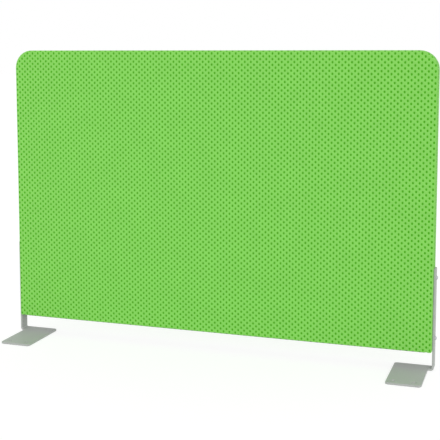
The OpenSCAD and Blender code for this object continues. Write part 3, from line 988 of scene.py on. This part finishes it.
print("heights and insets of a 5 mm plate:", rounded_levels(0.0, 5.0, 0.5))

# %% [markdown]
# The foot's sizes come from the CAD solid's box: the blank is 90 mm wide at the plate and 30 mm at the wing.
# The plate's holes are countersunk from above, and the wing's are plain. Where two faces meet, the edge is
# rounded by 0.6 mm in three small steps.
# A hole's profile has one row for each ring: its height in the steel, and its radius there.

# %% The sizes of a foot
foot_low, foot_high = box_mm("right_foot")
STEEL = 5.0
BEND_INNER = 3.0
BEND_OUTER = BEND_INNER + STEEL
BEND_START = foot_high[0] - BEND_OUTER
BEND_CENTRE = foot_low[2] + BEND_OUTER
BEND_LENGTH = (BEND_INNER + STEEL / 2) * math.pi / 2
BEND_STEPS = 12
BLANK_END = BEND_START + BEND_LENGTH + foot_high[2] - BEND_CENTRE
PLATE_WIDTH = 90.0
WING_WIDTH = 30.0
PLATE_INNER = foot_low[0]
PLATE_OUTER = PLATE_INNER + PLATE_WIDTH
PLATE_FRONT = foot_low[1]
WING_BACK = foot_high[1]
WING_FRONT = WING_BACK - WING_WIDTH
PLATE_CORNER = (8.0, 10)
WING_CORNER = (5.0, 8)
THROAT_CORNER = (4.0, 8)
EDGE_ROUND = 0.6
EDGE_LEVELS = rounded_levels(0.0, STEEL, EDGE_ROUND)
HOLE = 3.3
HOLE_FROM_SIDE = 19.0
HOLE_FROM_FRONT = 20.0
HOLE_EDGE = ((0.0, 0.4), (0.1, 0.12), (0.4, 0.0))
PLAIN_HOLE = [(deep, HOLE + wider) for deep, wider in HOLE_EDGE]
PLAIN_HOLE += [(STEEL - deep, HOLE + wider) for deep, wider in reversed(HOLE_EDGE)]
SUNK_HOLE = ((0.0, HOLE + 0.3), (0.3, HOLE), (2.0, HOLE), (4.8, 6.1), (STEEL, 6.45))
PLATE_HOLES = [
    (x, PLATE_FRONT + HOLE_FROM_FRONT) for x in (PLATE_INNER + HOLE_FROM_SIDE, PLATE_OUTER - HOLE_FROM_SIDE)
]
WING_HOLES = [(BEND_START + BEND_LENGTH + z - BEND_CENTRE, MIDDLE_Y) for z in SCREW_HEIGHTS]
print("flat blank", round(BLANK_END - PLATE_INNER, 1), "mm, bend allowance", round(BEND_LENGTH, 2), "mm")

# %% [markdown]
# Bending is a change of place alone. Up to the bend a point of the blank stays on the plate, within it the
# point goes round the bend's centre, and past it the point climbs the wing. The outline needs a point at
# every step of the bend, or its long sides would cut straight across.

# %% Bending the blank
WING_POINTS = 2 * WING_CORNER[1]


def bent(blank, level):
    """Places of the bent steel: along and across the flat blank, and up through its thickness."""
    along, across = blank.T
    angle = np.clip((along - BEND_START) / BEND_LENGTH, 0, 1) * math.pi / 2
    radius = BEND_OUTER - level
    past = np.maximum(along - BEND_START - BEND_LENGTH, 0)
    x = np.minimum(along, BEND_START) + radius * np.sin(angle)
    z = BEND_CENTRE - radius * np.cos(angle) + past
    return np.stack([x, across, z], axis=1)


def blank_ring(inset):
    """The whole outline of the blank: the bend's front edge, the wing, the bend's back edge, the plate."""
    stations = np.linspace(BEND_START, BEND_START + BEND_LENGTH, BEND_STEPS + 1)
    front = np.stack([stations, np.full(len(stations), WING_FRONT + inset)], axis=1)
    back = np.stack([stations[::-1], np.full(len(stations), WING_BACK - inset)], axis=1)
    corners = [
        (BEND_START, WING_FRONT, 0, 1),
        (BLANK_END, WING_FRONT, *WING_CORNER),
        (BLANK_END, WING_BACK, *WING_CORNER),
        (BEND_START, WING_BACK, 0, 1),
        (PLATE_INNER, WING_BACK, *PLATE_CORNER),
        (PLATE_INNER, PLATE_FRONT, *PLATE_CORNER),
        (PLATE_OUTER, PLATE_FRONT, *PLATE_CORNER),
        (PLATE_OUTER, WING_FRONT, *THROAT_CORNER),
    ]
    _, wing, _, plate = np.split(outline(corners, inset), [1, 1 + WING_POINTS, 2 + WING_POINTS])
    return np.concatenate([front, wing, back, plate])


part_ends = np.cumsum([BEND_STEPS + 1, WING_POINTS, BEND_STEPS + 1])
front_edge, wing_edge, back_edge, plate_edge = np.split(np.arange(len(blank_ring(0.0))), part_ends)
wing_lid = np.concatenate([front_edge[-1:], wing_edge, back_edge[:1]])
plate_lid = np.concatenate([back_edge[-1:], plate_edge, front_edge[:1]])
bend_lid = np.stack([front_edge[:-1], front_edge[1:], back_edge[-2::-1], back_edge[:0:-1]], axis=1)
print("points in the outline of the blank:", len(blank_ring(0.0)))

# %% [markdown]
# The whole foot is stacks of rings: one for the outer edge and one for each hole, all bent as one. Belts of
# faces join the rings, and the two broad faces are filled round the holes. A boolean cut would make the
# same holes, but it leaves rough shading round them, and each countersink would need a cutter of its own.
# Weighted normals keep the broad faces flat in the light.

# %% Making a foot


def steel_foot(name, mirrored, stands_for):
    """One bent foot: side walls from rings, holes from rings, and lids on the two broad faces."""
    stacks = [(blank_ring, EDGE_LEVELS)]
    stacks += [(partial(circle, place), SUNK_HOLE) for place in PLATE_HOLES]
    stacks += [(partial(circle, place), PLAIN_HOLE) for place in WING_HOLES]
    points = []
    made = []
    count = 0
    for ring_of, profile in stacks:
        rings = [ring_of(size) for _, size in profile]
        points += [bent(ring, level) for ring, (level, _) in zip(rings, profile)]
        numbers = count + np.arange(len(rings) * len(rings[0])).reshape(len(rings), -1)
        made.append((rings, numbers))
        count += numbers.size
    (outer, outer_numbers), *holes = made
    quads = [belt(outer_numbers[:-1], outer_numbers[1:])]
    quads += [belt(numbers[:-1], numbers[1:])[:, ::-1] for _, numbers in holes]
    triangles = []
    for end, facing in ((0, -1), (-1, 1)):
        for part, own in ((plate_lid, holes[:2]), (wing_lid, holes[2:])):
            flat = [outer[end][part]] + [rings[end] for rings, _ in own]
            names = [outer_numbers[end][part]] + [numbers[end] for _, numbers in own]
            triangles.append(lid(flat, names)[:, ::facing])
        quads.append(outer_numbers[end][bend_lid][:, ::facing])
    points = np.concatenate(points)
    groups = [np.concatenate(quads), np.concatenate(triangles)]
    if mirrored:
        points, groups = mirror(points, groups)
    foot = piece(name, points, groups, [paint], stands_for)
    weigh = foot.modifiers.new("flat_faces_stay_flat", "WEIGHTED_NORMAL")
    weigh.keep_sharp = True


print("rings in the outer edge of a foot:", len(EDGE_LEVELS), "and in a countersunk hole:", len(SUNK_HOLE))

# %% [markdown]
# The steel is powder coated in a plain light grey. Powder melts into an even film with a faint orange-peel
# skin: bumps of 1 to 2 mm that are only hundredths of a millimetre high, and a soft, rather dull gloss that
# varies a little. On the real feet the film is thinner on the edges; the finish here has fine handling marks,
# which fall anywhere on the steel.

# %% The paint, and the two feet
paint = Finish("satin_powder_paint", linear(182, 185, 182), 0.5, gloss=0.2)
peel = paint.noise(1.6)
grain = paint.noise(0.45)
cloudy = paint.noise(40, detail=3.0)
rubs = paint.noise(2.2, detail=4.0, where=paint.where(stretch=(1.0, 0.12, 1.0)))
paint.shade(cloudy, 0.975, 1.015).shade(grain, 0.985, 1.01).rough(cloudy, 0.46, 0.56)
paint.fleck(rubs, linear(193, 195, 193), (0.66, 0.76), most=0.35).emboss(peel, 0.035).emboss(grain, 0.012)

steel_foot("right_foot_steel", False, ["right_foot"])
steel_foot("left_foot_steel", True, ["left_foot"])

# %% [markdown]
# Two button-head screws hold each wing. A screw is turned on a lathe, so its mesh is a profile spun round an
# axis: each row gives a place along the axis and a radius. The hexagon socket is a few more rows, whose
# radius changes with the angle, and the thread is a radius that climbs as it goes round. The head is a slice
# of a ball, and a drill has left a small cone at the bottom of the socket. The washer is a closed profile
# with softened edges, as a punched washer has after tumbling.

# %% The profiles of a screw and a washer
TURN_POINTS = 48
SPIN = np.arange(TURN_POINTS) * 2 * math.pi / TURN_POINTS
HEAD_RADIUS = 5.25
HEAD_FACE = 5.0
HEAD_EASE = 0.2
HEAD_HEIGHT = 3.3
HEAD_RINGS = (5.1, 4.8, 4.4, 3.9, 3.4, 2.9)
SOCKET_HALF = 2.0
SOCKET_DEEP = 2.0
SOCKET_EASE = 0.02
BEVEL_WIDE = 0.18
BEVEL_DEEP = 0.12
DRILL_RADIUS = 1.2
DRILL_TIP = 0.5
THREAD_OUTER = 2.97
THREAD_INNER = 2.45
THREAD_PITCH = 1.0
THREAD_STEP = 0.25
LEAD_IN_ROWS = 6
LEAD_IN_THINNER = 0.1
NECK_ROWS = 3
NECK_RADIUS = 2.9
TIP_RADIUS = 1.9
AXIS = 0.01
washer_low, washer_high = (corner[0] for corner in box_mm("right_washers"))
HEAD_SEAT = washer_high
SCREW_TIP = box_mm("right_screws")[0][0]
WASHER_ROWS = (
    (washer_low + 0.25, 3.3),
    (washer_low, 3.5),
    (washer_low, 5.75),
    (washer_low + 0.2, 6.0),
    (washer_high - 0.35, 6.0),
    (washer_high, 5.7),
    (washer_high, 3.55),
    (washer_high - 0.25, 3.3),
)


def dome_of_head(radius):
    """The place along the axis of the head's dome at that radius."""
    ball = (HEAD_RADIUS**2 + HEAD_HEIGHT**2) / (2 * HEAD_HEIGHT)
    return HEAD_SEAT + HEAD_HEIGHT - ball + np.sqrt(ball**2 - np.square(radius))


def screw_rows():
    """The profile of a button-head screw from its tip to the bottom of its socket."""
    rows = [(SCREW_TIP, AXIS), (SCREW_TIP, TIP_RADIUS)]
    for k in range(int((HEAD_SEAT - SCREW_TIP) / THREAD_STEP) - NECK_ROWS):
        along = SCREW_TIP + 2 * THREAD_STEP + k * THREAD_STEP
        climb = (along / THREAD_PITCH + SPIN / (2 * math.pi)) % 1
        ridge = np.abs(2 * climb - 1)
        grown = min(1.0, k / LEAD_IN_ROWS)
        core = THREAD_INNER * (1 - LEAD_IN_THINNER * (1 - grown))
        rows.append((along, core + (THREAD_OUTER - THREAD_INNER) * ridge * grown))
    rows += [(HEAD_SEAT - HEAD_EASE, NECK_RADIUS), (HEAD_SEAT, NECK_RADIUS + HEAD_EASE)]
    rows += [(HEAD_SEAT, HEAD_FACE), (HEAD_SEAT + HEAD_EASE, HEAD_RADIUS)]
    rows += [(dome_of_head(radius), radius) for radius in HEAD_RINGS]
    hexagon = (SOCKET_HALF + SOCKET_EASE) / np.cos((SPIN % (math.pi / 3)) - math.pi / 6)
    rim = dome_of_head(hexagon.max())
    floor_at = rim - SOCKET_DEEP
    rows += [(rim, hexagon + BEVEL_WIDE), (rim - BEVEL_DEEP, hexagon), (floor_at, hexagon)]
    return [*rows, (floor_at, DRILL_RADIUS), (floor_at - DRILL_TIP, AXIS)]


print("profile rows of a screw:", len(screw_rows()), "and of a washer:", len(WASHER_ROWS))

# %% [markdown]
# Blender's Screw modifier can spin a profile, but it takes a plain curve, and here the socket and the thread
# change with the angle. So the rings are placed by formula and joined by belts. A washer's profile is
# closed, which joins its last ring to its first.

# %% Turning the profiles


def hardware(name, rows, mirrored, closed, stands_for):
    """A profile spun round the X axis at both screw places of one wing."""
    along = np.repeat([along for along, _ in rows], TURN_POINTS)
    radii = np.stack([np.broadcast_to(radius, TURN_POINTS) for _, radius in rows])
    off = (radii * np.cos(SPIN)).ravel()
    up = (radii * np.sin(SPIN)).ravel()
    number = np.arange(radii.size).reshape(radii.shape)
    faces = belt(number, np.roll(number, -1, axis=0)) if closed else belt(number[:-1], number[1:])
    points = np.concatenate([np.stack([along, MIDDLE_Y + off, z + up], axis=1) for z in SCREW_HEIGHTS])
    groups = [np.concatenate([faces, faces + radii.size])]
    if mirrored:
        points, groups = mirror(points, groups)
    piece(name, points, groups, [zinc], stands_for)


print("screws and washers stand at heights of", SCREW_HEIGHTS, "mm")

# %% [markdown]
# Screws and washers are zinc plated: bright, slightly blue, and soft in reflection, because the crystals of
# the coating are fine. A cloudy noise varies the gloss, as handling does.

# %% Zinc plate, screws and washers
zinc = Finish("zinc_plate", linear(196, 199, 202), 0.32, metallic=1.0)
crystals = zinc.noise(0.5, detail=3.0)
cloud = zinc.noise(4.0)
zinc.shade(crystals, 0.93, 1.04).shade(cloud, 0.94, 1.03).rough(cloud, 0.27, 0.4).emboss(crystals, 0.01)

for side in ("right", "left"):
    hardware(f"{side}_button_screws", screw_rows(), side == "left", False, [f"{side}_screws"])
    hardware(f"{side}_flat_washers", WASHER_ROWS, side == "left", True, [f"{side}_washers"])

# %% [markdown]
# Under each cover lies a sheet of 6 mm open-cell foam, which keeps the cloth from showing the frame, and the
# two bays of the frame hold slabs of pressed fibre that soak up the sound. None of these shows from outside,
# but a maker who takes the screen apart should find them. Foam shows its cut cells, and pressed fibre shows
# strands and tufts, with a few paler flecks from the rags that it is made of.

# %% Foam and fibre
foam = Finish("cream_foam", linear(228, 224, 205), 0.95, gloss=0.1)
foam_cells = foam.pores(1.4)
foam.shade(foam_cells, 0.78, 1.04, (0.0, 0.6)).shade(foam.noise(25), 0.96, 1.02).emboss(foam_cells, 0.6)

fibre = Finish("pressed_fibre", linear(88, 90, 96), 0.97, gloss=0.05, sheen=0.1)
strands = fibre.noise(1.5, detail=4.0, twist=1.5, where=fibre.where(stretch=(1.0, 1.0, 0.25)))
tufts = fibre.noise(9, detail=3.0)
specks = fibre.remap(fibre.pores(5.0), (0.0, 0.25), 1.0, 0.0)
fibre.shade(strands, 0.7, 1.25).shade(tufts, 0.88, 1.1)
fibre.fleck(specks, linear(150, 152, 160), (0.6, 0.9), most=0.5).emboss(strands, 0.7).emboss(tufts, 0.9)
print("foam sheet", round(np.ptp(box_mm("front_foam"), axis=0)[1], 1), "mm thick")

# %% [markdown] Both are cut from flat stock: the outline is drawn once, and the edges are rounded a little by
# the knife and by years of handling. A cube with a bevel would do for a square slab, but these follow the
# rounded corners of the panel.

# %% Foam sheets and fibre slabs
KNIFE_CORNER = (1.6, 4)
UPPER_POINTS = 14
SOFT_EDGE = 1.5
CORE_CORNER = 29.5


def cut_slab(name, node, upper_left, upper_right, finish):
    """A slab cut from flat stock, upright in its CAD node's box; each upper corner has its own radius."""
    low, high = box_mm(node)
    corners = [
        (low[0], low[2], *KNIFE_CORNER),
        (high[0], low[2], *KNIFE_CORNER),
        (high[0], high[2], upper_right, UPPER_POINTS),
        (low[0], high[2], upper_left, UPPER_POINTS),
    ]
    rings = []
    for y, inset in rounded_levels(low[1], high[1], SOFT_EDGE):
        ring = outline(corners, inset)
        rings.append(np.insert(ring, 1, y, axis=1))
    points = np.concatenate(rings)
    number = np.arange(len(points)).reshape(len(rings), -1)
    sides = belt(number[:-1], number[1:])[:, ::-1]
    ends = np.stack([number[0], number[-1][::-1]])
    made = piece(name, points, [sides, ends], [finish], [node])


for side in ("front", "back"):
    cut_slab(f"{side}_foam_sheet", f"{side}_foam", FLAT_CORNER, FLAT_CORNER, foam)
cut_slab("left_slab", "left_core", CORE_CORNER, KNIFE_CORNER[0], fibre)
cut_slab("right_slab", "right_core", KNIFE_CORNER[0], CORE_CORNER, fibre)

# %% [markdown]
# The frame itself keeps its CAD shape, since planed timber is what the solid shows already. It gets wood that
# runs the way each piece is cut: along the rails, and upwards in the stiles and the post. Softwood has wide
# pale rings with thin dark late wood, and fine pores along the grain.
# The corner blocks are plywood, whose layers lie one on another through the thickness, in turn light and
# dark. Both outer layers are light, because a light layer comes every 4 mm and the block begins at 52 mm.

# %% Timber, plywood and beech
PLY_LAYER = 4.0


def softwood(name, long_way):
    """Planed pine whose grain is drawn out in the direction that long_way shrinks."""
    made = Finish(name, linear(214, 178, 128), 0.62, gloss=0.3)
    grain_place = made.where(stretch=long_way)
    rings = made.ribs(7.0, "Y", wobble=9.0, where=grain_place)
    fine = made.noise(0.7, detail=4.0, where=grain_place)
    made.fleck(rings, linear(170, 122, 72), (0.62, 0.98), most=0.65)
    made.shade(fine, 0.9, 1.05).shade(made.noise(90), 0.94, 1.04).rough(fine, 0.55, 0.7)
    return made.emboss(fine, 0.06).emboss(rings, 0.05)


rail_wood = softwood("pine_along_the_rail", (0.06, 1.0, 1.0))
upright_wood = softwood("pine_standing", (1.0, 1.0, 0.06))

plywood = Finish("birch_plywood", linear(218, 190, 146), 0.6, gloss=0.3)
ply_along = plywood.where(stretch=(0.08, 1.0, 1.0))
ply_layers = plywood.ribs(PLY_LAYER, "Y")
ply_grain = plywood.noise(0.8, detail=4.0, where=ply_along)
ply_rings = plywood.ribs(6.0, "Z", wobble=6.0, where=ply_along)
plywood.fleck(ply_rings, linear(196, 158, 112), (0.6, 0.95), most=0.5)
plywood.fleck(ply_layers, linear(150, 108, 66), (0.45, 0.6), most=0.8).shade(ply_grain, 0.9, 1.06)
plywood.emboss(ply_grain, 0.05).emboss(ply_layers, 0.04)

beech = Finish("fluted_beech", linear(206, 160, 118), 0.55, gloss=0.35)
beech_flecks = beech.noise(0.9, detail=3.0, where=beech.where(stretch=(0.3, 1.0, 0.3)))
beech_flutes = beech.ribs(1.2, "Y", wobble=0.4)
beech.fleck(beech_flecks, linear(150, 100, 66), (0.6, 0.75), most=0.6)
beech.shade(beech_flutes, 0.9, 1.03, WAVE_SPAN).emboss(beech_flutes, 0.2)
print("plywood layers in a block:", round(np.ptp(box_mm("left_corner_block"), axis=0)[1] / PLY_LAYER, 1))

# %% [markdown]
# The closing strip under the panel is moulded black plastic with the fine spark texture that hides
# fingerprints. The pads under the plates are rubber with a cross-ribbed skin, and the threaded inserts in
# the stiles are brass with turning marks.

# %% Plastic, rubber and brass
plastic = Finish("moulded_black_plastic", linear(44, 45, 46), 0.48, gloss=0.45)
spark = plastic.noise(0.6, detail=3.0)
flow = plastic.noise(12, where=plastic.where(stretch=(0.1, 1.0, 1.0)))
plastic.shade(spark, 0.85, 1.15).shade(flow, 0.93, 1.06).rough(spark, 0.42, 0.56).emboss(spark, 0.05)

rubber = Finish("ribbed_rubber", linear(34, 34, 35), 0.82, gloss=0.3)
rib_x, rib_y = rubber.ribs(1.6, "X"), rubber.ribs(1.6, "Y")
dust = rubber.noise(6, detail=4.0)
rubber.shade(rib_x, 0.85, 1.1, WAVE_SPAN).fleck(dust, linear(78, 77, 74), (0.55, 0.8), most=0.4)
rubber.emboss(rib_x, 0.12).emboss(rib_y, 0.12)

brass = Finish("turned_brass", linear(214, 180, 104), 0.3, metallic=1.0)
marks = brass.ribs(0.3, "X", wobble=0.3)
tarnish = brass.noise(3.0, detail=3.0)
brass.shade(marks, 0.9, 1.04, WAVE_SPAN).shade(tarnish, 0.85, 1.05).rough(tarnish, 0.25, 0.42)
brass.emboss(marks, 0.02)
print("black plastic in linear light:", [round(v, 3) for v in plastic.material.diffuse_color[:3]])

# %% [markdown]
# These finishes go on the CAD nodes that keep their own solids. A node keeps its shape and place, and only
# the material in its first slot is changed.

# %% Finishing the CAD nodes that stay
kept_nodes = (
    (rail_wood, ("top_rail", "bottom_rail")),
    (upright_wood, ("left_stile", "right_stile", "centre_post")),
    (plywood, ("left_corner_block", "right_corner_block")),
    (beech, ("frame_dowels",)),
    (plastic, ("closing_strip",)),
    (zinc, ("strip_screws",)),
    (rubber, ("left_pad", "right_pad")),
    (brass, ("left_inserts", "right_inserts")),
)
for finish, nodes in kept_nodes:
    for node in nodes:
        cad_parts[node].material_slots[0].material = finish.material
shown = [name for name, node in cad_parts.items() if not node.hide_render]
print("CAD nodes with a new finish:", sum(len(nodes) for _, nodes in kept_nodes), "of", len(shown), "shown")

# %% [markdown] The dressed screen has to stay inside the CAD model's box, apart from cloth that may stand a
# little proud.
